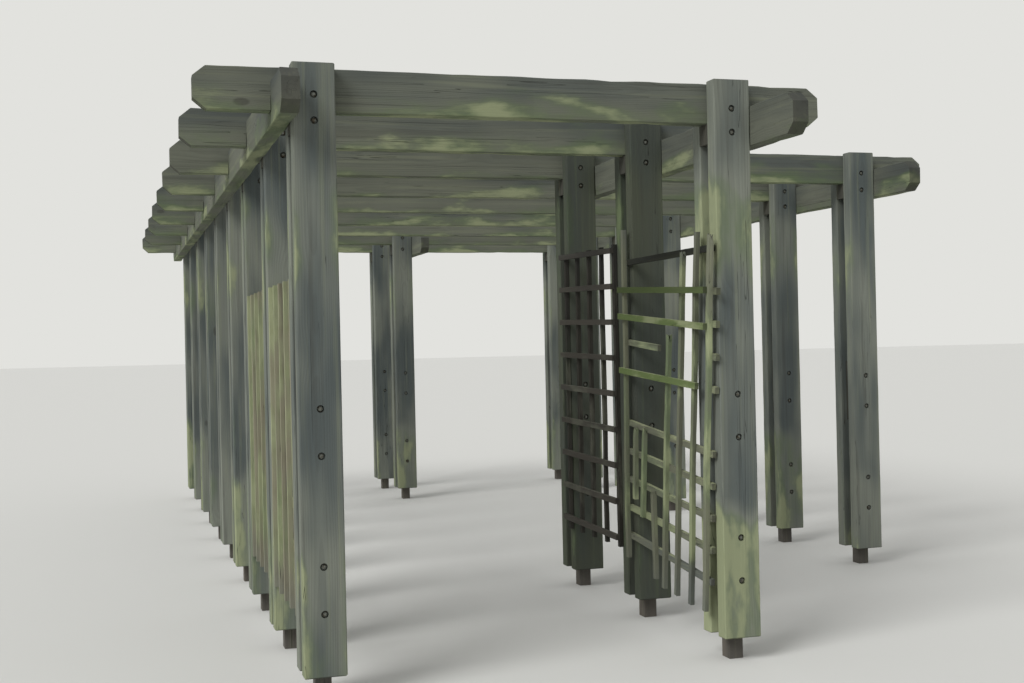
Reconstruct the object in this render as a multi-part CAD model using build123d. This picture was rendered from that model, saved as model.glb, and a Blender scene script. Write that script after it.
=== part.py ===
"""Wooden garden pergola: post-and-beam frames over a trellised entrance walk and a wider room.

Millimetres. X runs across the walk, from the left row of posts to the outer right row.
Y runs along the walk, from the entrance at -Y to the far end at +Y. Z is up from the ground.
The origin is on the ground under the middle of the whole pergola.
"""
from build123d import *
import os

os.makedirs("parts", exist_ok=True)

# Timber sections
board_width = 175.0  # post boards, across the walk
board_thick = 75.0
beam_thick = 75.0  # beams and blocks, and so the gap between the two boards of a post
beam_depth = 180.0
middle_block_width = 100.0  # set back between the boards
ground_post_width = 65.0
arris = 4.0  # eased edges of boards and beams

# Plan
bay = 975.0  # from one cross frame to the next
left_aisle = 1850.0  # left row to middle row
right_aisle = 1865.0  # middle row to outer row
frame_count = 9
first_wide_frame = 3  # from here on the cross beams reach the outer row
middle_posts_front = 3  # the middle row's posts stand at the first three frames
middle_posts_back = 2  # and again at the last two

# Heights
board_foot = 105.0  # the boards stop above the ground
beam_underside = 2390.0  # cross beams
board_rise = 10.0  # board tops stand above the cross beams
head_block_height = 90.0
left_drop = 55.0  # the long beams lie this much below the cross beams, row by row
middle_drop = 105.0
outer_drop = 90.0

# Beam ends
cross_overhang = 385.0  # past the edge of the outermost boards
long_overhang = 385.0  # past the face of the first and last boards
short_overhang = 250.0  # the left long beam stops shorter at the entrance
nose_run = 55.0  # slanted corners of every beam end
nose_rise = 45.0

# Bolts, two at each block
bolt_spacing = 190.0
middle_block_height = 985.0  # centres above the boards' feet
low_bolts_height = 350.0
block_end = 90.0  # timber past the outer bolts of a block
beam_bolt_rise = 60.0  # the head bolts, above and below the cross beam's underside
block_bolt_drop = 45.0
counterbore_radius = 21.0
counterbore_depth = 16.0
counterbore_sides = 8

# Trellis battens
batten_width = 30.0
batten_thick = 20.0
open_pitch = 188.5  # rails of the sound panels
open_lath_count = 5
lath_seat = 15.0  # how far an end lath of a lapped panel laps onto a board
rail_lap = 35.0  # a lapped panel's rails run on past its last lath
lath_tail = 70.0  # laths below the lowest rail
middle_top_rail = 1822.0  # top rails, above the boards' feet
middle_rail_count = 9
middle_rail_sag = 1.2  # degrees, down towards the entrance
left_top_rail = 1600.0
left_rail_count = 8

# Damaged panel at the entrance, with closer battens, racked towards the entrance
close_pitch = 145.0
close_rail_foot = 330.0  # lowest rail above the boards' feet, at its far end
close_rail_start = 47.0  # past the first board
close_rail_shift = 14.0  # each rail up starts this much nearer the entrance
close_rail_sag = 5.4  # degrees
close_rail_drop = 92.0  # what the sag comes to at the entrance
sound_rails = (0, 1, 2, 3, 4)
broken_rails = (6, 7, 8, 9)  # a stub of each is left at the entrance
stub_length = 95.0
close_top_rail = 1729.0  # still level

# Laths left in the damaged panel, from the entrance on, their lower ends above the boards' feet
# and their upper ends above its top rail, or below it where they broke
worn_lath_places = (94.0, 246.0, 406.0, 554.0, 655.0, 798.0, 886.0, 997.0)  # past the first board
worn_lath_foot_heights = (106.0, 109.0, 122.0, 131.0, 160.0, 444.0, 526.0, 215.0)
worn_lath_head_rises = (66.0, 88.0, 11.0, -369.0, -1136.0, -831.0, -838.0, 167.0)
worn_lath_leans = (4.9, 5.2, 5.6, 5.8, -0.7, 6.4, 3.4, 0.7)  # degrees

# A broken rail at its far end, then three battens nailed over the gap
loose_rail_layers = (0, 2, 2, 2)
loose_rail_heights = (1322.0, 1590.0, 1455.0, 1178.0)  # far ends above the boards' feet
loose_rail_lengths = (420.0, 1040.0, 1030.0, 925.0)
loose_rail_sags = (4.6, 2.6, 4.1, 3.8)  # degrees

# Derived places
post_half = beam_thick / 2 + board_thick
beam_top = beam_underside + beam_depth
board_top = beam_top + board_rise
left_x = -(left_aisle + right_aisle) / 2
middle_x = left_x + left_aisle
outer_x = middle_x + right_aisle
frame_y = [bay * (n - (frame_count - 1) / 2) for n in range(frame_count)]

left_frames = list(range(frame_count))
outer_frames = list(range(first_wide_frame - 1, frame_count))
middle_front_frames = list(range(middle_posts_front))
middle_back_frames = list(range(frame_count - middle_posts_back, frame_count))
rows = {
    "left": (left_x, left_frames),
    "middle": (middle_x, middle_front_frames + middle_back_frames),
    "outer": (outer_x, outer_frames),
}

middle_bolts = [middle_block_height - bolt_spacing / 2, middle_block_height + bolt_spacing / 2]
low_bolts = [low_bolts_height - bolt_spacing / 2, low_bolts_height + bolt_spacing / 2]


def span_box(x0, x1, y0, y1, z0, z1):
    """A box between two corners."""
    box = Box(x1 - x0, y1 - y0, z1 - z0, align=(Align.MIN, Align.MIN, Align.MIN))
    return Pos(x0, y0, z0) * box


def write_node(name, shapes):
    """Export one node, as a single solid or as solids that stay apart."""
    solids = [solid for shape in shapes for solid in shape.solids()]
    node = solids[0] if len(solids) == 1 else Compound(children=solids)
    node.label = name
    export_step(node, f"parts/{name}.step")


def bolt_levels():
    """Heights of the six bolts of a post, from the ground."""
    head = [beam_underside - block_bolt_drop, beam_underside + beam_bolt_rise]
    return [board_foot + level for level in low_bolts + middle_bolts] + head


def front_board():
    """The board on the entrance side of a post, with eased edges and bolt recesses."""
    face = -post_half
    half = board_width / 2
    board = span_box(-half, half, face, -beam_thick / 2, board_foot, board_top)
    long_edges = board.edges().filter_by(Axis.Z)
    top_edges = board.faces().sort_by(Axis.Z)[-1].edges()
    board = chamfer(long_edges + top_edges, arris)
    for level in bolt_levels():
        plane = Plane(origin=(0, face, level), x_dir=(1, 0, 0), z_dir=(0, 1, 0))
        recess = plane * RegularPolygon(counterbore_radius, counterbore_sides)
        board -= extrude(recess, counterbore_depth)
    return board


def post_boards(x, y):
    """The two boards of a post, which clasp the beam and the blocks between them."""
    board = front_board()
    pair = [board, mirror(board, about=Plane.XZ)]
    return [Pos(x, y, 0) * each for each in pair]


def head_block(x, y):
    """Packing block under the cross beam, held by the lower of the two head bolts."""
    half_x = board_width / 2
    half_y = beam_thick / 2
    low = beam_underside - head_block_height
    return span_box(x - half_x, x + half_x, y - half_y, y + half_y, low, beam_underside)


def middle_block(x, y):
    """Distance block at half height, held by two bolts."""
    half_x = middle_block_width / 2
    half_y = beam_thick / 2
    low = board_foot + middle_bolts[0] - block_end
    high = board_foot + middle_bolts[1] + block_end
    return span_box(x - half_x, x + half_x, y - half_y, y + half_y, low, high)


def ground_post(x, y):
    """Short post that carries the boards clear of the wet ground."""
    half_x = ground_post_width / 2
    half_y = beam_thick / 2
    high = board_foot + low_bolts[1] + block_end
    return span_box(x - half_x, x + half_x, y - half_y, y + half_y, 0, high)


def beam_along_x(x0, x1, y, underside):
    """A beam with eased edges and both corners of each end cut to a slant."""
    top = underside + beam_depth
    profile = Plane.XZ * Polygon(
        (x0 + nose_run, underside),
        (x1 - nose_run, underside),
        (x1, underside + nose_rise),
        (x1, top - nose_rise),
        (x1 - nose_run, top),
        (x0 + nose_run, top),
        (x0, top - nose_rise),
        (x0, underside + nose_rise),
        align=None,
    )
    beam = Pos(0, y + beam_thick / 2, 0) * extrude(profile, beam_thick)
    return chamfer(beam.edges().filter_by(Axis.X), arris)


def long_beam_x(row_x, side):
    """The two faces of a long beam, which lies against the boards on one side of a row."""
    near = row_x + side * board_width / 2
    far = near + side * beam_thick
    return min(near, far), max(near, far)


def lap_level(drop):
    """Height where a cross beam rests in a long beam, with both notched alike."""
    return beam_underside + (beam_depth - drop) / 2


def cross_beam(frame):
    """Cross beam of one frame, halved over the long beams that it crosses."""
    y = frame_y[frame]
    right_row = outer_x if frame in outer_frames else middle_x
    x0 = left_x - board_width / 2 - cross_overhang
    x1 = right_row + board_width / 2 + cross_overhang
    beam = beam_along_x(x0, x1, y, beam_underside)
    for _, row_x, side, drop, frames, _, _ in long_beams:
        if frame in frames:
            low, high = long_beam_x(row_x, side)
            beam -= span_box(low, high, y - beam_thick, y + beam_thick, 0, lap_level(drop))
    return beam


def long_beam(row_x, side, drop, frames, front_overhang, back_overhang):
    """Long beam against one side of a row, notched to take the cross beams."""
    low, high = long_beam_x(row_x, side)
    y0 = frame_y[frames[0]] - post_half - front_overhang
    y1 = frame_y[frames[-1]] + post_half + back_overhang
    beam = Rot(Z=90) * beam_along_x(y0, y1, 0, beam_underside - drop)
    beam = Pos((low + high) / 2, 0, 0) * beam
    for frame in frames:
        y = frame_y[frame]
        y_low = y - beam_thick / 2
        beam -= span_box(low, high, y_low, y_low + beam_thick, lap_level(drop), beam_top)
    return beam


def lath(face_x, layer, y, z0, z1, lean=0.0):
    """Upright batten in one layer of a panel, leaning sideways about its foot."""
    x1 = face_x - layer * batten_thick
    half = batten_width / 2
    bar = span_box(x1 - batten_thick, x1, -half, half, 0, z1 - z0)
    return Pos(0, y, z0) * Rot(X=lean) * bar


def rail(face_x, layer, y0, y1, z, sag=0.0):
    """Level batten in one layer, or one that drops towards the entrance."""
    x1 = face_x - layer * batten_thick
    half = batten_width / 2
    bar = span_box(x1 - batten_thick, x1, y0 - y1, 0, -half, half)
    return Pos(0, y1, z) * Rot(X=sag) * bar


def open_panel(face, layers, laths, rails, top_rail, rail_count, sag=0.0):
    """Open trellis panel, from where its laths and its rails begin and end along the row."""
    first = laths[0] + batten_width / 2
    last = laths[1] - batten_width / 2
    step = (last - first) / (open_lath_count - 1)
    top = board_foot + top_rail
    foot = top - open_pitch * (rail_count - 1)
    panel = Part()
    for n in range(open_lath_count):
        panel += lath(face, layers[0], first + n * step, foot - lath_tail, top + batten_width / 2)
    for n in range(rail_count):
        panel += rail(face, layers[1], rails[0], rails[1], top - n * open_pitch, sag)
    return panel


def lapped_panel(row_x, frame):
    """Open panel on the left edges of two neighbouring posts."""
    near = frame_y[frame] + post_half - lath_seat
    far = frame_y[frame + 1] - post_half + lath_seat + batten_width / 2
    face = row_x - board_width / 2
    rails = (near, far + rail_lap)
    heights = (middle_top_rail, middle_rail_count, middle_rail_sag)
    return open_panel(face, (0, 1), (near, far), rails, *heights)


def set_in_panel(row_x, frame):
    """Open panel between two neighbouring posts, flush with their left edges."""
    ends = (frame_y[frame] + post_half, frame_y[frame + 1] - post_half)
    face = row_x - board_width / 2
    return open_panel(face, (-1, -2), ends, ends, left_top_rail, left_rail_count)


def worn_panel(row_x, frame):
    """Close trellis panel that has racked, and lost laths and the middles of its upper rails."""
    face = row_x - board_width / 2
    first = frame_y[frame] - (beam_thick + board_thick) / 2
    end = first + worn_lath_places[-1] + batten_width / 2
    panel = rail(face, 0, first - batten_width, end, board_foot + close_top_rail)
    for n in sound_rails + broken_rails:
        start = first + close_rail_start - n * close_rail_shift
        level = board_foot + close_rail_foot + n * close_pitch
        if n in sound_rails:
            panel += rail(face, 0, start, end, level, close_rail_sag)
        else:
            panel += rail(face, 0, start, start + stub_length, level - close_rail_drop, close_rail_sag)
    feet = [board_foot + height for height in worn_lath_foot_heights]
    heads = [board_foot + close_top_rail + rise for rise in worn_lath_head_rises]
    for place, foot, head, lean in zip(worn_lath_places, feet, heads, worn_lath_leans):
        panel += lath(face, 1, first + place, foot, head, lean)
    loose_rails = zip(loose_rail_layers, loose_rail_heights, loose_rail_lengths, loose_rail_sags)
    for layer, level, length, sag in loose_rails:
        panel += rail(face, layer, end - length, end, board_foot + level, sag)
    return panel


# Long beams: name, row, side of the row, drop, frames crossed, overhang at the front and the back
long_beams = [
    ("left_long_beam", left_x, -1, left_drop, left_frames, short_overhang, long_overhang),
    ("middle_long_beam", middle_x, 1, middle_drop, middle_front_frames, long_overhang, long_overhang),
    ("far_middle_long_beam", middle_x, 1, middle_drop, middle_back_frames, long_overhang, long_overhang),
    ("outer_long_beam", outer_x, 1, outer_drop, outer_frames, long_overhang, long_overhang),
]

for row, (row_x, frames) in rows.items():
    for frame in frames:
        write_node(f"{row}_post_{frame + 1}", post_boards(row_x, frame_y[frame]))

posts = [(row_x, frame_y[frame]) for row_x, frames in rows.values() for frame in frames]
write_node("head_blocks", [head_block(x, y) for x, y in posts])
write_node("middle_blocks", [middle_block(x, y) for x, y in posts])
write_node("ground_posts", [ground_post(x, y) for x, y in posts])

for frame in range(frame_count):
    write_node(f"cross_beam_{frame + 1}", [cross_beam(frame)])

for name, *sizes in long_beams:
    write_node(name, [long_beam(*sizes)])

write_node("middle_trellis_1", [worn_panel(middle_x, 0)])
write_node("middle_trellis_2", [lapped_panel(middle_x, 1)])
write_node("left_trellis_1", [set_in_panel(left_x, 0)])
write_node("left_trellis_2", [set_in_panel(left_x, 1)])
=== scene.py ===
import math
import random

import bmesh
import bpy
from mathutils import Matrix, Vector, noise


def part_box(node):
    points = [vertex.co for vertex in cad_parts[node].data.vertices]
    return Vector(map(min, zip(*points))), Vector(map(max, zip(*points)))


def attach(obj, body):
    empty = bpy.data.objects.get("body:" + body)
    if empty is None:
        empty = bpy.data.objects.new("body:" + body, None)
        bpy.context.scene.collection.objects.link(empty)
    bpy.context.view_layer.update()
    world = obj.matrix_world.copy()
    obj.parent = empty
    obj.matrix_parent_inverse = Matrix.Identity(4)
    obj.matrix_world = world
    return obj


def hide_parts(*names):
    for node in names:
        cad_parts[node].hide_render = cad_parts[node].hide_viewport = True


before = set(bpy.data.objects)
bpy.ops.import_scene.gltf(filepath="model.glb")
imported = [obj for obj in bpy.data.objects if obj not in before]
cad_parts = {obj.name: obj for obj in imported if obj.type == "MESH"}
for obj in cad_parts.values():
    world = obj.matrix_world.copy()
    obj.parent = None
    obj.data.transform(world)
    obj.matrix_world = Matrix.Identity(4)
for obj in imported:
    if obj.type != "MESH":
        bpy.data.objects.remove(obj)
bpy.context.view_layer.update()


# The view is that of a standing person, a little left of the entrance walk. The camera was fitted
# to the edges of the posts and beams, and its lens is the focal length over the photo's width.
eye = Vector((-2.6688, -9.3055, 1.4252))
turn_right = math.radians(17.0259)
tilt_up = math.radians(0.145)
roll = math.radians(-1.2789)
photo_width = 1024
focal_pixels = 1320.2
sensor_width = 36.0

camera = bpy.data.cameras.new("camera")
camera.sensor_width = sensor_width
camera.lens = focal_pixels * sensor_width / photo_width
camera.clip_end = 500.0
viewer = bpy.data.objects.new("camera", camera)
viewer.matrix_world = (
    Matrix.Translation(eye)
    @ Matrix.Rotation(-turn_right, 4, "Z")
    @ Matrix.Rotation(math.pi / 2 + tilt_up, 4, "X")
    @ Matrix.Rotation(roll, 4, "Z")
)
bpy.context.scene.collection.objects.link(viewer)
bpy.context.scene.camera = viewer
bpy.context.scene.view_settings.view_transform = "Standard"


# The studio is a plain pale floor under a pale, even sky. One broad lamp from the left front
# shapes the timber softly, and the sky alone lights the rest.
class Value:
    """One socket of a finish's nodes. Arithmetic on it adds the Math nodes that work it out."""

    def __init__(self, socket):
        self.socket = socket

    def node(self, kind, settings, values, output=0):
        """Add any other node: first its settings, then the values or links of its sockets."""
        tree = self.socket.id_data
        made = tree.nodes.new(kind)
        for name, setting in settings.items():
            setattr(made, name, setting)
        for name, value in values.items():
            if isinstance(value, Value):
                tree.links.new(value.socket, made.inputs[name])
            else:
                made.inputs[name].default_value = value
        return Value(made.outputs[output])

    def math(self, operation, *values):
        return self.node("ShaderNodeMath", {"operation": operation}, dict(enumerate(values)))

    def vector(self, operation, *values, output=0):
        return self.node("ShaderNodeVectorMath", {"operation": operation}, dict(enumerate(values)), output)

    def __add__(self, other):
        return self.math("ADD", self, other)

    def __radd__(self, other):
        return self.math("ADD", other, self)

    def __sub__(self, other):
        return self.math("SUBTRACT", self, other)

    def __rsub__(self, other):
        return self.math("SUBTRACT", other, self)

    def __mul__(self, other):
        return self.math("MULTIPLY", self, other)

    def __rmul__(self, other):
        return self.math("MULTIPLY", other, self)

    def __truediv__(self, other):
        return self.math("DIVIDE", self, other)

    def most(self, other):
        return self.math("MAXIMUM", self, other)

    def size(self):
        return self.math("ABSOLUTE", self)

    def step(self, low, high):
        """Rise smoothly from 0 at low to 1 at high, or fall where low is the higher."""
        ends = {"Value": self, "From Min": low, "From Max": high}
        return self.node("ShaderNodeMapRange", {"interpolation_type": "SMOOTHSTEP"}, ends)

    def axis(self, name):
        return self.node("ShaderNodeSeparateXYZ", {}, {0: self}, name)

    def blend(self, colour, other):
        """Go from a colour to another as this value goes from 0 to 1."""
        return self.node("ShaderNodeMix", {"data_type": "RGBA"}, {0: self, 6: colour, 7: other}, 2)


def seen(red, green, blue):
    """A colour as a screen shows it, 0 to 255, as the linear colour that a shader takes."""
    linear = [((part / 255 + 0.055) / 1.055) ** 2.4 for part in (red, green, blue)]
    return (*linear, 1.0)


def new_finish(name):
    """A new material, with its shader and the place on the piece, in metres."""
    finish = bpy.data.materials.new(name)
    finish.use_nodes = True
    shader = finish.node_tree.nodes["Principled BSDF"]
    place = finish.node_tree.nodes.new("ShaderNodeTexCoord").outputs["Object"]
    return finish, shader, Value(place)


def connect(value, socket):
    """Feed a worked-out value to one of a shader's sockets."""
    value.socket.id_data.links.new(value.socket, socket)


floor_half = 150.0
sky_level = 0.62
lamp_level = 2.2
lamp_softness = math.radians(28)
lamp_place = Vector((-0.85, -0.50, 0.80))
pale = seen(226, 226, 222)
floor_pale = seen(205, 205, 201)

floor_shape = bmesh.new()
bmesh.ops.create_grid(floor_shape, x_segments=1, y_segments=1, size=floor_half)
floor_mesh = bpy.data.meshes.new("floor")
floor_shape.to_mesh(floor_mesh)
floor = bpy.data.objects.new("floor", floor_mesh)
bpy.context.scene.collection.objects.link(floor)
floor_finish, floor_shader, _ = new_finish("pale_floor")
floor_shader.inputs["Base Color"].default_value = floor_pale
floor_shader.inputs["Roughness"].default_value = 0.9
floor_mesh.materials.append(floor_finish)

sky = bpy.data.worlds.new("sky")
sky.use_nodes = True
bpy.context.scene.world = sky
rays = Value(sky.node_tree.nodes.new("ShaderNodeLightPath").outputs["Is Camera Ray"])
glossy = Value(rays.socket.node.outputs["Is Glossy Ray"])
clear = Value(rays.socket.node.outputs["Is Transmission Ray"])
seen_by = rays.most(glossy).most(clear)
background = sky.node_tree.nodes["Background"]
connect(seen_by.blend((sky_level, sky_level, sky_level, 1.0), pale), background.inputs["Color"])

lamp = bpy.data.lights.new("lamp", "SUN")
lamp.energy = lamp_level
lamp.angle = lamp_softness
lamp_stand = bpy.data.objects.new("lamp", lamp)
lamp_stand.rotation_mode = "QUATERNION"
lamp_stand.rotation_quaternion = lamp_place.to_track_quat("Z", "Y")
bpy.context.scene.collection.objects.link(lamp_stand)


# Each post is two sawn softwood boards, long faded to grey and greened by algae at the foot and
# below the head. Their arrises are worn, some have drying checks, and each bolt has a bored recess.
bore_radius = 0.0155
bore_depth = 0.016
bore_sides = 24
low_bolts = (0.360, 0.550)
middle_bolts = (0.995, 1.185)
head_bolts = (2.345, 2.450)
board_arris = 0.005
board_wear = (0.0008, 0.0035)  # on its faces and on its edges
board_pitch = 0.045
board_scores = 4  # across its width
board_lanes = [0.3, 0.47, 0.5, 0.53, 0.7]  # where drying checks run, as shares of a face
silver = seen(124, 128, 118)
# The boards' grey patches: partly weathered wood and partly painted shade
violet_grey = seen(85, 92, 91)
olive = seen(99, 112, 85)
lichen = seen(152, 157, 124)
dirt = seen(64, 63, 58)
crack_dark = seen(34, 33, 30)


def new_piece(name, shape, finishes):
    """Make a finished mesh a piece of the object, standing on the ground with the rest."""
    mesh = bpy.data.meshes.new(name)
    shape.to_mesh(mesh)
    shape.free()
    for finish in finishes:
        mesh.materials.append(finish)
    piece = bpy.data.objects.new(name, mesh)
    bpy.context.scene.collection.objects.link(piece)
    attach(piece, "root")
    return piece


def cut_away(shape, cutter):
    """Cut one closed shape out of another, as a drill or a saw would."""
    dug = []
    for name, part in (("timber", shape), ("cutter", cutter)):
        mesh = bpy.data.meshes.new(name)
        part.to_mesh(mesh)
        part.free()
        made = bpy.data.objects.new(name, mesh)
        bpy.context.scene.collection.objects.link(made)
        dug.append(made)
    cut = dug[0].modifiers.new("cut", "BOOLEAN")
    cut.operation = "DIFFERENCE"
    cut.solver = "EXACT"
    cut.object = dug[1]
    left = bmesh.new()
    left.from_object(dug[0], bpy.context.evaluated_depsgraph_get())
    if not left.faces:
        # Cutters that cross one another need the slower way
        cut.use_self = True
        left.from_object(dug[0], bpy.context.evaluated_depsgraph_get())
    for made in dug:
        mesh = made.data
        bpy.data.objects.remove(made)
        bpy.data.meshes.remove(mesh)
    return left


def cut_lengths(shape, direction, low, high, pitch):
    """Score a shape across its length, so that wear can move its edges there."""
    count = max(1, round((high - low) / pitch))
    for n in range(1, count):
        parts = shape.verts[:] + shape.edges[:] + shape.faces[:]
        at = direction * (low + (high - low) * n / count)
        bmesh.ops.bisect_plane(shape, geom=parts, plane_co=at, plane_no=direction, dist=1e-5)


wear_changes = 7  # to a metre
nick_changes = 26
nick_start = 0.28  # noise above it makes a nick
nick_gain = 2.2  # a nick's depth over its edge's wear
least_wave = 0.25  # noise that far below zero leaves an edge whole
face_flatness = 0.97  # a point whose normal is less square lies on an edge


def weather(shape, luck, face_wear, edge_wear):
    """Wear a shape inwards: faces a little, and edges more and with nicks."""
    shift = Vector((luck.uniform(0, 90), luck.uniform(0, 90), luck.uniform(0, 90)))
    shape.normal_update()
    for point in shape.verts:
        lean = point.normal
        flat = max(abs(part) for part in lean)
        wave = noise.noise(point.co * wear_changes + shift)
        nick = noise.noise(point.co * nick_changes + shift)
        depth = face_wear * (0.5 + 0.5 * wave)
        if flat < face_flatness:
            worn = edge_wear * max(0.0, wave + least_wave)
            depth += worn + nick_gain * edge_wear * max(0.0, nick - nick_start)
        point.co -= lean * depth


check_lengths = (0.12, 0.34)  # as shares of a bar
check_margin = 0.02  # left whole at a bar's ends, likewise
check_widths = (0.0012, 0.0030)
check_depths = (0.008, 0.02)
check_pitch = 0.08  # as a share of a check
check_tip = 0.12  # its width at the ends over that in the middle
check_wander = 0.004
wander_changes = 5  # to a metre
wedge_radius = 0.58  # of a three-sided cutter that is one unit wide


def check_cutter(start, along, into, length, width, depth, luck):
    """A drying check: a thin wedge that wanders along the grain and dies out at both ends."""
    side = along.cross(into)
    cutter = bmesh.new()
    bmesh.ops.create_cone(cutter, segments=3, radius1=1, radius2=1, depth=1, cap_ends=True)
    cut_lengths(cutter, Vector((0, 0, 1)), -0.5, 0.5, check_pitch)
    shift = luck.uniform(0, 90)
    for point in cutter.verts:
        share = point.co.z + 0.5
        swell = check_tip + (1 - check_tip) * math.sin(math.pi * share) ** 0.7
        wander = check_wander * noise.noise(Vector((share * length * wander_changes, shift, 0)))
        sideways = point.co.x * width * swell * wedge_radius + wander
        inward = point.co.y * depth * swell
        point.co = start + along * (share * length) + side * sideways + into * inward
    if cutter.calc_volume(signed=True) < 0:
        bmesh.ops.reverse_faces(cutter, faces=cutter.faces[:])
    return cutter


def take_in(shape, other):
    """Add one bmesh to another."""
    mesh = bpy.data.meshes.new("taken")
    other.to_mesh(mesh)
    other.free()
    shape.from_mesh(mesh)
    bpy.data.meshes.remove(mesh)


def open_checks(shape, low, high, along, faces, lanes, luck):
    """Open drying checks in some faces of a bar, two to a face at most, in some of its lanes."""
    across = Vector((1, 1, 1)) - along
    span = (high - low).dot(along)
    cutters = bmesh.new()
    for into in faces:
        side = along.cross(into)
        wide = abs((high - low).dot(side))
        for lane in luck.sample(lanes, luck.choice((1, 1, 2))):
            length = span * luck.uniform(*check_lengths)
            begin = luck.uniform(check_margin, 1 - check_margin - length / span) * span
            middle = (low + high) / 2
            on_face = middle - into * abs((high - low).dot(into)) / 2
            start = Vector([on_face[n] if across[n] else low[n] for n in range(3)])
            start += along * begin + side * wide * (lane - 0.5)
            width = luck.uniform(*check_widths)
            depth = luck.uniform(*check_depths)
            take_in(cutters, check_cutter(start, along, into, length, width, depth, luck))
    return cut_away(shape, cutters)


def ramp(value, low, high):
    """Rise smoothly from 0 at low to 1 at high, or fall where low is the higher."""
    share = min(max((value - low) / (high - low), 0.0), 1.0)
    return share * share * (3 - 2 * share)


def set_grain(piece, bar_at, damp_at):
    """Keep each face's pith and lightness, of the bar it belongs to, and how damp each point is."""
    mesh = piece.data
    bars = [bar_at(face) for face in mesh.polygons]
    heart = mesh.attributes.new("heart", "FLOAT_VECTOR", "FACE")
    heart.data.foreach_set("vector", [part for pith, _ in bars for part in pith])
    tone = mesh.attributes.new("tone", "FLOAT", "FACE")
    tone.data.foreach_set("value", [lightness for _, lightness in bars])
    damp = mesh.attributes.new("damp", "FLOAT", "POINT")
    damp.data.foreach_set("value", [damp_at(point.co) for point in mesh.vertices])


def weathered_timber(name, grain, dry, grey, algae, bloom, growth, ring_width=0.0065):
    """Old softwood whose grain runs one way: rings round its pith, checks, knots and algae."""
    finish, shader, place = new_finish(name)
    cross = Vector((1, 1, 1)) - grain
    heart = place.node("ShaderNodeAttribute", {"attribute_name": "heart"}, {}, "Vector")
    tone = place.node("ShaderNodeAttribute", {"attribute_name": "tone"}, {}, "Fac")
    damp = place.node("ShaderNodeAttribute", {"attribute_name": "damp"}, {}, "Fac")
    normal = place.node("ShaderNodeTexCoord", {}, {}, "Normal")
    local = place.vector("SUBTRACT", place, heart)
    drift = place.vector("ADD", place, heart.vector("MULTIPLY", heart, (7.0, 7.0, 1.0)))

    def cloud(along, across, detail=2.0, source=local, output=0):
        """Noise drawn out along the grain: how many changes to a metre each way."""
        stretched = source.vector("MULTIPLY", source, grain * along + cross * across)
        values = {"Vector": stretched, "Scale": 1.0, "Detail": detail, "Roughness": 0.55}
        return place.node("ShaderNodeTexNoise", {}, values, output)

    # Knots, where some cells of a stretched pattern have one
    cells = local.vector("MULTIPLY", local, grain * 3.2 + cross * 6.5)
    knot_space = place.node("ShaderNodeTexVoronoi", {}, {"Vector": cells, "Scale": 1.0}, 0)
    knot_luck = Value(knot_space.socket.node.outputs[1]).axis("X").step(0.74, 0.76)
    knot = knot_space.step(0.13, 0.08) * knot_luck
    knot_pull = knot_space.step(0.55, 0.05) * knot_luck

    # Growth rings round the pith, bent by a slow drift and pushed aside by the knots
    sway = cloud(0.7, 2.0, 1.0, output=1)
    sway = sway.vector("MULTIPLY", sway.vector("SUBTRACT", sway, (0.5, 0.5, 0.5)), cross * 0.05)
    bent = local.vector("ADD", local.vector("MULTIPLY", local, cross), sway)
    radius = bent.vector("LENGTH", bent, output=1) + knot_pull * 0.014
    ring = place.math("FRACT", radius / ring_width)
    latewood = ring.step(0.20, 0.85) * ring.step(1.0, 0.90)

    # Fibres, rain streaks, hair checks and slow patches
    fibre = cloud(7.0, 420.0, 3.0)
    streak = cloud(0.9, 34.0, 2.0)
    broad = cloud(0.5, 9.0, 2.0)
    patch = cloud(1.3, 5.0, 2.0, source=drift)
    blotch = cloud(3.4, 11.0, 4.0, source=drift)
    cool = cloud(1.7, 6.0, 1.0)
    crack_field = cloud(1.1, 48.0, 1.0)
    crack = (crack_field - 0.5).size().step(0.007, 0.002) * broad.step(0.50, 0.60)

    # End grain shows where the wood was cut across
    end = normal.vector("DOT_PRODUCT", normal, grain, output=1).size().step(0.35, 0.55)
    upward = normal.axis("Z")

    # The wood's own colours: dry or grey, with rain streaks, latewood, fibres and knots.
    # The grey patches are partly weathered wood and partly painted shade.
    grey_and_painted_shade = patch * 0.7 + cool * 0.3 - (damp - 0.35) * 0.32
    colour = grey_and_painted_shade.step(0.35, 0.68).blend(dry, grey)
    colour = (streak.step(0.54, 0.72) * 0.30).blend(colour, dirt)
    colour = (streak.step(0.46, 0.30) * 0.16).blend(colour, bloom)
    colour = (latewood * 0.13).blend(colour, dirt)
    colour = (fibre.step(0.54, 0.74) * 0.16).blend(colour, dirt)
    colour = (knot * 0.55).blend(colour, dirt)
    # What gathers on the wood: a film of algae, a pale crust, and dirt on end grain and in cracks
    film = blotch * 0.4 + patch * 0.3 + cool * 0.3 + (damp - 0.45) * 0.38
    film = film.step(0.68 - growth * 0.3, 0.86 - growth * 0.3)
    colour = (film * 0.72).blend(colour, algae)
    crust = (blotch * 0.6 + cool * 0.4 + (damp - 0.5) * 0.36 + upward.most(0.0) * 0.10).step(0.58, 0.70)
    colour = (crust * 0.70).blend(colour, bloom)
    colour = (end * 0.55).blend(colour, dirt)
    colour = (crack * 0.60).blend(colour, crack_dark)
    shade = 1.0 + tone * 0.24 + (broad - 0.5) * 0.30
    colour = colour.vector("SCALE", colour)
    connect(shade, colour.socket.node.inputs["Scale"])
    connect(colour, shader.inputs["Base Color"])

    connect(0.92 - film * 0.10 - latewood * 0.04, shader.inputs["Roughness"])
    relief = latewood * 0.22 + fibre * 0.30 - crack * 1.2 + knot * 0.3 + blotch * crust * 0.5
    settings = {"Height": relief, "Distance": 0.0014, "Strength": 0.8}
    connect(place.node("ShaderNodeBump", {}, settings), shader.inputs["Normal"])
    shader.inputs["Specular IOR Level"].default_value = 0.12
    return finish


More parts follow.
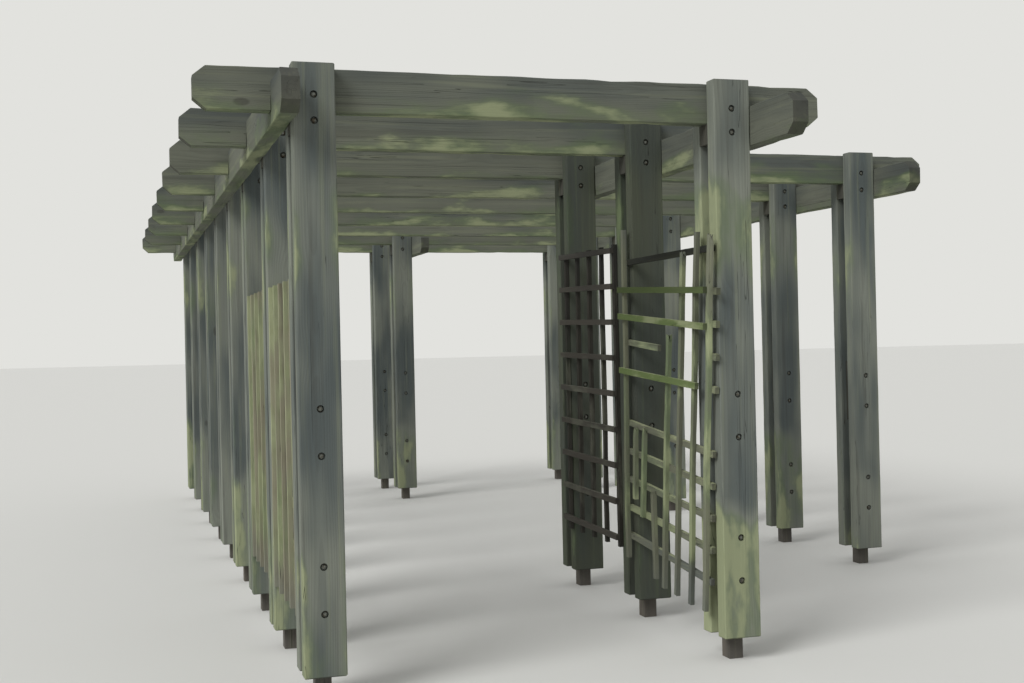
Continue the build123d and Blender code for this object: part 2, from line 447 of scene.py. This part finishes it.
x_grain = Vector((1, 0, 0))
y_grain = Vector((0, 1, 0))
z_grain = Vector((0, 0, 1))
board_timber = weathered_timber("board_timber", z_grain, silver, violet_grey, olive, lichen, 0.55)
# Middle posts 2 and 3 take a darker copy of the board timber: painted shade, as under leaves, on top of
# their real olive-green algae.
painted_shade_brown = seen(76, 80, 68)
painted_shade_grey = seen(70, 75, 69)
painted_shade_olive = seen(72, 84, 61)
painted_shade_lichen = seen(104, 116, 84)
painted_shade_timber = weathered_timber(
    "painted_shade_timber", z_grain, painted_shade_brown, painted_shade_grey, painted_shade_olive, painted_shade_lichen, 0.60
)
posts_in_painted_shade = ("middle_post_2", "middle_post_3")
greenest_post = "middle_post_1"


def worn_board(low, high, outward, luck):
    """One board between two corners, with its six bores on the face that looks outward."""
    shape = bmesh.new()
    bmesh.ops.create_cube(shape, size=1.0)
    bmesh.ops.scale(shape, vec=high - low, verts=shape.verts[:])
    bmesh.ops.translate(shape, vec=(low + high) / 2, verts=shape.verts[:])
    bmesh.ops.bevel(
        shape, geom=shape.edges[:], offset=board_arris, segments=3, profile=0.5, affect="EDGES", material=-1
    )
    cut_lengths(shape, z_grain, low.z, high.z, board_pitch)
    cut_lengths(shape, x_grain, low.x, high.x, (high.x - low.x) / board_scores)
    weather(shape, luck, *board_wear)
    face_y = low.y if outward < 0 else high.y
    bores = bmesh.new()
    for level in low_bolts + middle_bolts + head_bolts:
        bore = Matrix.Translation(((low.x + high.x) / 2, face_y, level))
        bore = bore @ Matrix.Rotation(math.pi / 2, 4, "X")
        bmesh.ops.create_cone(
            bores, segments=bore_sides, radius1=bore_radius, radius2=bore_radius,
            depth=2 * bore_depth, cap_ends=True, matrix=bore,
        )
    shape = cut_away(shape, bores)
    sides = [Vector((0, -outward, 0)), Vector((luck.choice((-1, 1)), 0, 0))]
    return open_checks(shape, low, high, z_grain, sides, board_lanes, luck)


foot_zone = (0.74, 0.58)  # algae grow from none at the first height to most at the second
upper_zone = (1.50, 1.90)
upper_zone_end = (2.25, 2.05)
zone_sway = 0.10
sway_changes = 9  # to a metre
driest = 0.10
zone_damp = 0.66
edge_damp = 0.26


def board_damp(place, middle_x, half_width, rise, share):
    """Algae keep to a board's foot, a band below its head, and its side edges.

    The zones lie lower by the rise, and are as strong as the share.
    """
    sway = noise.noise(Vector((place.x * sway_changes, place.y * sway_changes, rise)))
    height = place.z + rise + zone_sway * sway
    foot = ramp(height, *foot_zone) * share
    upper = ramp(height, *upper_zone) * ramp(height, *upper_zone_end) * (0.15 + 0.7 * share)
    edge = min(abs(place.x - middle_x) / half_width, 1.0) ** 4
    return driest + zone_damp * max(foot, upper) + edge_damp * edge


pith_aside = (-0.05, 0.05)
pith_behind = (0.05, 0.11)
pith_height = (-1.5, 1.5)
board_tones = (-0.5, 0.5)
zone_rises = (-0.15, 0.15)
zone_shares = (0.2, 0.8)
greenest_share = 1.35

post_names = sorted(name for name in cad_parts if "_post_" in name)
for name in post_names:
    luck = random.Random(name)
    low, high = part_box(name)
    thick = (high.y - low.y) / 3
    front = worn_board(low, Vector((high.x, low.y + thick, high.z)), -1, luck)
    back = worn_board(Vector((low.x, high.y - thick, low.z)), high, 1, luck)
    take_in(front, back)
    # Middle posts 2 and 3 take the timber with painted shade
    timber = painted_shade_timber if name in posts_in_painted_shade else board_timber
    piece = new_piece(f"{name}_boards", front, [timber])
    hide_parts(name)
    hearts = []
    for y in (low.y + thick / 2, high.y - thick / 2):
        pith = Vector((
            (low.x + high.x) / 2 + luck.uniform(*pith_aside),
            y + luck.choice((-1, 1)) * luck.uniform(*pith_behind),
            luck.uniform(*pith_height),
        ))
        hearts.append((pith, luck.uniform(*board_tones)))
    middle = (low + high) / 2
    rise = 0.0 if name == greenest_post else luck.uniform(*zone_rises)
    share = greenest_share if name == greenest_post else luck.uniform(*zone_shares)
    set_grain(
        piece,
        lambda face: hearts[face.center.y > middle.y],
        lambda place: board_damp(place, middle.x, (high.x - low.x) / 2, rise, share),
    )


# Galvanised bolts, gone dull, draw the boards against the blocks and the beam. Each end sits in
# its bore on a round washer: a hexagon nut with the thread's end at the front, a head at the back.
washer_radius = 0.0125
washer_thick = 0.0025
nut_radius = 0.0090
nut_height = 0.0080
thread_radius = 0.0048
thread_proud = 0.003
head_height = 0.0062
washer_sides = 18
hexagon = 6
thread_sides = 10
dull = seen(100, 103, 96)
rusty = seen(84, 76, 62)

steel, steel_shader, steel_place = new_finish("dull_steel")
rust = steel_place.node("ShaderNodeTexNoise", {}, {"Vector": steel_place, "Scale": 90.0, "Detail": 4.0})
steel_colour = rust.step(0.45, 0.62).blend(dull, rusty)
connect(steel_colour, steel_shader.inputs["Base Color"])
connect(0.75 - rust.step(0.62, 0.45) * 0.55, steel_shader.inputs["Metallic"])
connect(0.5 + rust * 0.4, steel_shader.inputs["Roughness"])


def add_disc(shape, sides, radius, start, height, place):
    """A short prism that stands out of a bore, from one height above its floor to another."""
    stand = place @ Matrix.Translation((0, 0, start + height / 2))
    bmesh.ops.create_cone(
        shape, segments=sides, radius1=radius, radius2=radius, depth=height, cap_ends=True, matrix=stand
    )


for row in ("left", "middle", "outer"):
    bolts = bmesh.new()
    luck = random.Random(row)
    for name in post_names:
        if not name.startswith(row):
            continue
        low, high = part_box(name)
        for outward, face_y in ((-1, low.y), (1, high.y)):
            for level in low_bolts + middle_bolts + head_bolts:
                floor_y = face_y - outward * bore_depth
                place = Matrix.Translation(((low.x + high.x) / 2, floor_y, level))
                place = place @ Matrix.Rotation(-outward * math.pi / 2, 4, "X")
                place = place @ Matrix.Rotation(luck.uniform(0, math.pi), 4, "Z")
                add_disc(bolts, washer_sides, washer_radius, 0.0, washer_thick, place)
                if outward < 0:
                    end = washer_thick + nut_height
                    add_disc(bolts, hexagon, nut_radius, washer_thick, nut_height, place)
                    add_disc(bolts, thread_sides, thread_radius, end, thread_proud, place)
                else:
                    add_disc(bolts, hexagon, nut_radius, washer_thick, head_height, place)
    new_piece(f"{row}_bolts", bolts, [steel])


# Packing blocks fill the posts at the head and at half height, and a short ground post carries
# each pair of boards. They are the same softwood, always in shade, and dark with damp below.
shaded = seen(80, 79, 68)
shaded_grey = seen(66, 66, 60)
damp_brown = seen(108, 102, 94)
damp_grey = seen(88, 85, 80)
block_timber = weathered_timber("block_timber", z_grain, shaded, shaded_grey, olive, lichen, 0.45)
ground_timber = weathered_timber("ground_timber", z_grain, damp_brown, damp_grey, olive, lichen, 0.20)


def dress(node, finish):
    """Give a node that keeps its own shape another finish."""
    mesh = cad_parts[node].data
    mesh.materials.clear()
    mesh.materials.append(finish)


dress("head_blocks", block_timber)
dress("middle_blocks", block_timber)
dress("ground_posts", ground_timber)


# The beams are sawn from one length each, halved over one another at the posts. Their noses are
# cut to a slant above and below, and their undersides keep the most algae.
beam_pitch = 0.06
beam_wear = (0.0010, 0.0040)
beam_lanes = [0.22, 0.36, 0.5, 0.64, 0.78]
beam_pith = 0.06
beam_pith_aside = 0.08
cross_beam_tones = (-0.4, 0.2)
# Long beams take darker tones than cross beams: painted shade from the cross beams above them.
long_beam_painted_shade_tones = (-0.8, -0.4)
underside_damp = 0.76
damp_loss = 0.58  # from a beam's underside to its top
beam_brown = seen(108, 111, 99)
beam_grey = seen(84, 89, 86)
moss = seen(98, 114, 78)
beam_x_timber = weathered_timber("cross_beam_timber", x_grain, beam_brown, beam_grey, moss, lichen, 0.55)
beam_y_timber = weathered_timber("long_beam_timber", y_grain, beam_brown, beam_grey, moss, lichen, 0.55)


def merged_copy(node):
    """A copy of a node's mesh with its loose triangles joined into whole faces."""
    shape = bmesh.new()
    shape.from_mesh(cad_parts[node].data)
    bmesh.ops.remove_doubles(shape, verts=shape.verts[:], dist=1e-5)
    bmesh.ops.dissolve_limit(shape, angle_limit=math.radians(1), verts=shape.verts[:], edges=shape.edges[:])
    return shape


def worn_beam(name, along, finish):
    """A beam after years outdoors, with its notches where the node has them."""
    luck = random.Random(name)
    low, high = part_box(name)
    shape = merged_copy(name)
    cut_lengths(shape, along, low.dot(along), high.dot(along), beam_pitch)
    weather(shape, luck, *beam_wear)
    side = along.cross(z_grain)
    sides = [side, -side, Vector((0, 0, -1))]
    shape = open_checks(shape, low, high, along, sides, beam_lanes, luck)
    piece = new_piece(f"{name}_worn", shape, [finish])
    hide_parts(name)
    pith = (low + high) / 2 + Vector((luck.uniform(-beam_pith, beam_pith),) * 3)
    pith += side * luck.uniform(-beam_pith_aside, beam_pith_aside)
    tone = luck.uniform(*(cross_beam_tones if along == x_grain else long_beam_painted_shade_tones))
    depth = high.z - low.z
    set_grain(
        piece,
        lambda face: (pith, tone),
        lambda place: underside_damp - damp_loss * (place.z - low.z) / depth,
    )


for name in sorted(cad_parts):
    if name.startswith("cross_beam_"):
        worn_beam(name, x_grain, beam_x_timber)
    elif name.endswith("_long_beam"):
        worn_beam(name, y_grain, beam_y_timber)


# The trellis is rough sawn batten, nailed to the posts' edges. Its brown stain has lasted on the
# far panel and faded on the left. The near one is damaged, and algae has turned it green.
batten_pitch = 0.05
batten_width = 0.03
batten_thick = 0.02
batten_wear = (0.0004, 0.0015)
batten_ring = 0.004
batten_damp = 0.75
batten_zone = (0.20, 0.55)
batten_zone_end = (2.1, 1.6)
warp_changes = 1.7  # to a metre
side_warp_changes = 2.6
side_warp = 0.35  # as a share of the bend
broken_below = 0.1  # from a panel's top
end_slack = 0.002  # in the level of one sawn end
layer_slack = 0.999  # keeps a layer's far face in that layer
darkening_height = 1.35
darkest = 3.4
end_lath_reach = 0.08
tone_swing = 0.9
tone_changes = 5.5
brown = seen(66, 63, 57)
brown_grey = seen(58, 57, 54)
brown_green = seen(64, 72, 54)
brown_pale = seen(88, 88, 78)
dark_brown = seen(50, 48, 43)
dark_grey = seen(42, 43, 41)
faded = seen(136, 132, 113)
faded_grey = seen(120, 121, 109)
sage = seen(106, 108, 92)
sage_grey = seen(94, 98, 93)
batten_green = seen(104, 121, 84)
faded_green = seen(126, 139, 102)
nailed_green = seen(96, 108, 72)
nailed_dark = seen(82, 92, 64)
moss_green = seen(98, 114, 68)

brown_lath = weathered_timber(
    "brown_lath", z_grain, dark_brown, dark_grey, brown_green, brown_pale, 0.25, batten_ring
)
brown_rail = weathered_timber(
    "brown_rail", y_grain, brown, brown_grey, brown_green, brown_pale, 0.20, batten_ring
)
grey_lath = weathered_timber(
    "grey_lath", z_grain, faded, faded_grey, faded_green, lichen, 0.50, batten_ring
)
grey_rail = weathered_timber(
    "grey_rail", y_grain, faded, faded_grey, faded_green, lichen, 0.50, batten_ring
)
green_lath = weathered_timber(
    "green_lath", z_grain, sage, sage_grey, batten_green, lichen, 0.48, batten_ring
)
green_rail = weathered_timber(
    "green_rail", y_grain, sage, sage_grey, batten_green, lichen, 0.36, batten_ring
)
nailed_rail = weathered_timber(
    "nailed_rail", y_grain, nailed_green, nailed_dark, moss_green, lichen, 0.85, batten_ring
)


def layer_at(place, high, layers):
    """Which layer of battens a place lies in, counted from the posts' edges outwards."""
    return min(max(int((high.x - place.x) / batten_thick * layer_slack), 0), layers - 1)


def fray(shape, heads, reach, luck):
    """Break sawn ends off raggedly, into splinters of unequal length."""
    for place, half in heads:
        ends = [
            point for point in shape.verts
            if abs(point.co.z - place.z) < end_slack and (point.co - place).length < half
        ]
        rim = [edge for edge in shape.edges if edge.verts[0] in ends and edge.verts[1] in ends]
        bmesh.ops.subdivide_edges(shape, edges=rim, cuts=3, use_grid_fill=True)
        for point in shape.verts:
            if abs(point.co.z - place.z) < end_slack and (point.co - place).length < half:
                point.co.z -= reach * luck.random() ** 1.6


def worn_trellis(name, finishes, lath_layer, bend, splinter=0.0, rack=0.0, top_darkening=0.0, glow=0.0):
    """A panel whose battens have warped, and frayed by the length of a splinter.

    Each depth of battens has its own finish. The panel may have racked by a slope. Top darkening
    makes its upper rails darker, down to the darkest tone, and glow makes the lath at the entrance paler.
    """
    luck = random.Random(name)
    low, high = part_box(name)
    count = len(finishes)
    shape = merged_copy(name)
    heads = []
    for face in shape.faces:
        place = face.calc_center_median()
        broken = face.normal.z > 0.9 and place.z < high.z - broken_below
        if broken and layer_at(place, high, count) == lath_layer:
            heads.append((place, batten_width))
    if splinter:
        fray(shape, heads, splinter, luck)
    cut_lengths(shape, z_grain, low.z, high.z, batten_pitch)
    cut_lengths(shape, y_grain, low.y, high.y, batten_pitch)
    for face in shape.faces:
        face.material_index = layer_at(face.calc_center_median(), high, count)
    weather(shape, luck, *batten_wear)
    shift = Vector((luck.uniform(0, 90), luck.uniform(0, 90), luck.uniform(0, 90)))
    for point in shape.verts:
        away = 0.5 + 0.5 * noise.noise(point.co * warp_changes + shift)
        point.co.x -= bend * away * away
        point.co.y += side_warp * bend * noise.noise(point.co * side_warp_changes - shift)
    piece = new_piece(f"{name}_battens", shape, finishes)
    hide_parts(name)

    def bar_at(face):
        """A face's pith, so far off that rings run straight, and the tone of its batten."""
        place = face.center
        layer = face.material_index
        if layer == lath_layer:
            across = place.y + rack * (place.z - high.z)
            tone = glow if across < low.y + end_lath_reach else 0.0
        else:
            across = place.z - rack * (place.y - low.y)
            # Rails grow darker towards the panel's top, above the darkening height
            tone = -min(top_darkening * max(0.0, place.z - darkening_height) ** 2, darkest)
        return shift, tone + tone_swing * noise.noise(Vector((across * tone_changes, layer, shift.z)))

    set_grain(
        piece,
        bar_at,
        lambda place: batten_damp * ramp(place.z, *batten_zone) * ramp(place.z, *batten_zone_end),
    )


worn_trellis(
    "middle_trellis_1", [green_rail, green_lath, nailed_rail], 1, 0.010,
    splinter=0.05, rack=0.093, top_darkening=16.0, glow=0.9,
)
worn_trellis("middle_trellis_2", [brown_lath, brown_rail], 0, 0.006)
for name in ("left_trellis_1", "left_trellis_2"):
    worn_trellis(name, [grey_rail, grey_lath], 1, -0.004)
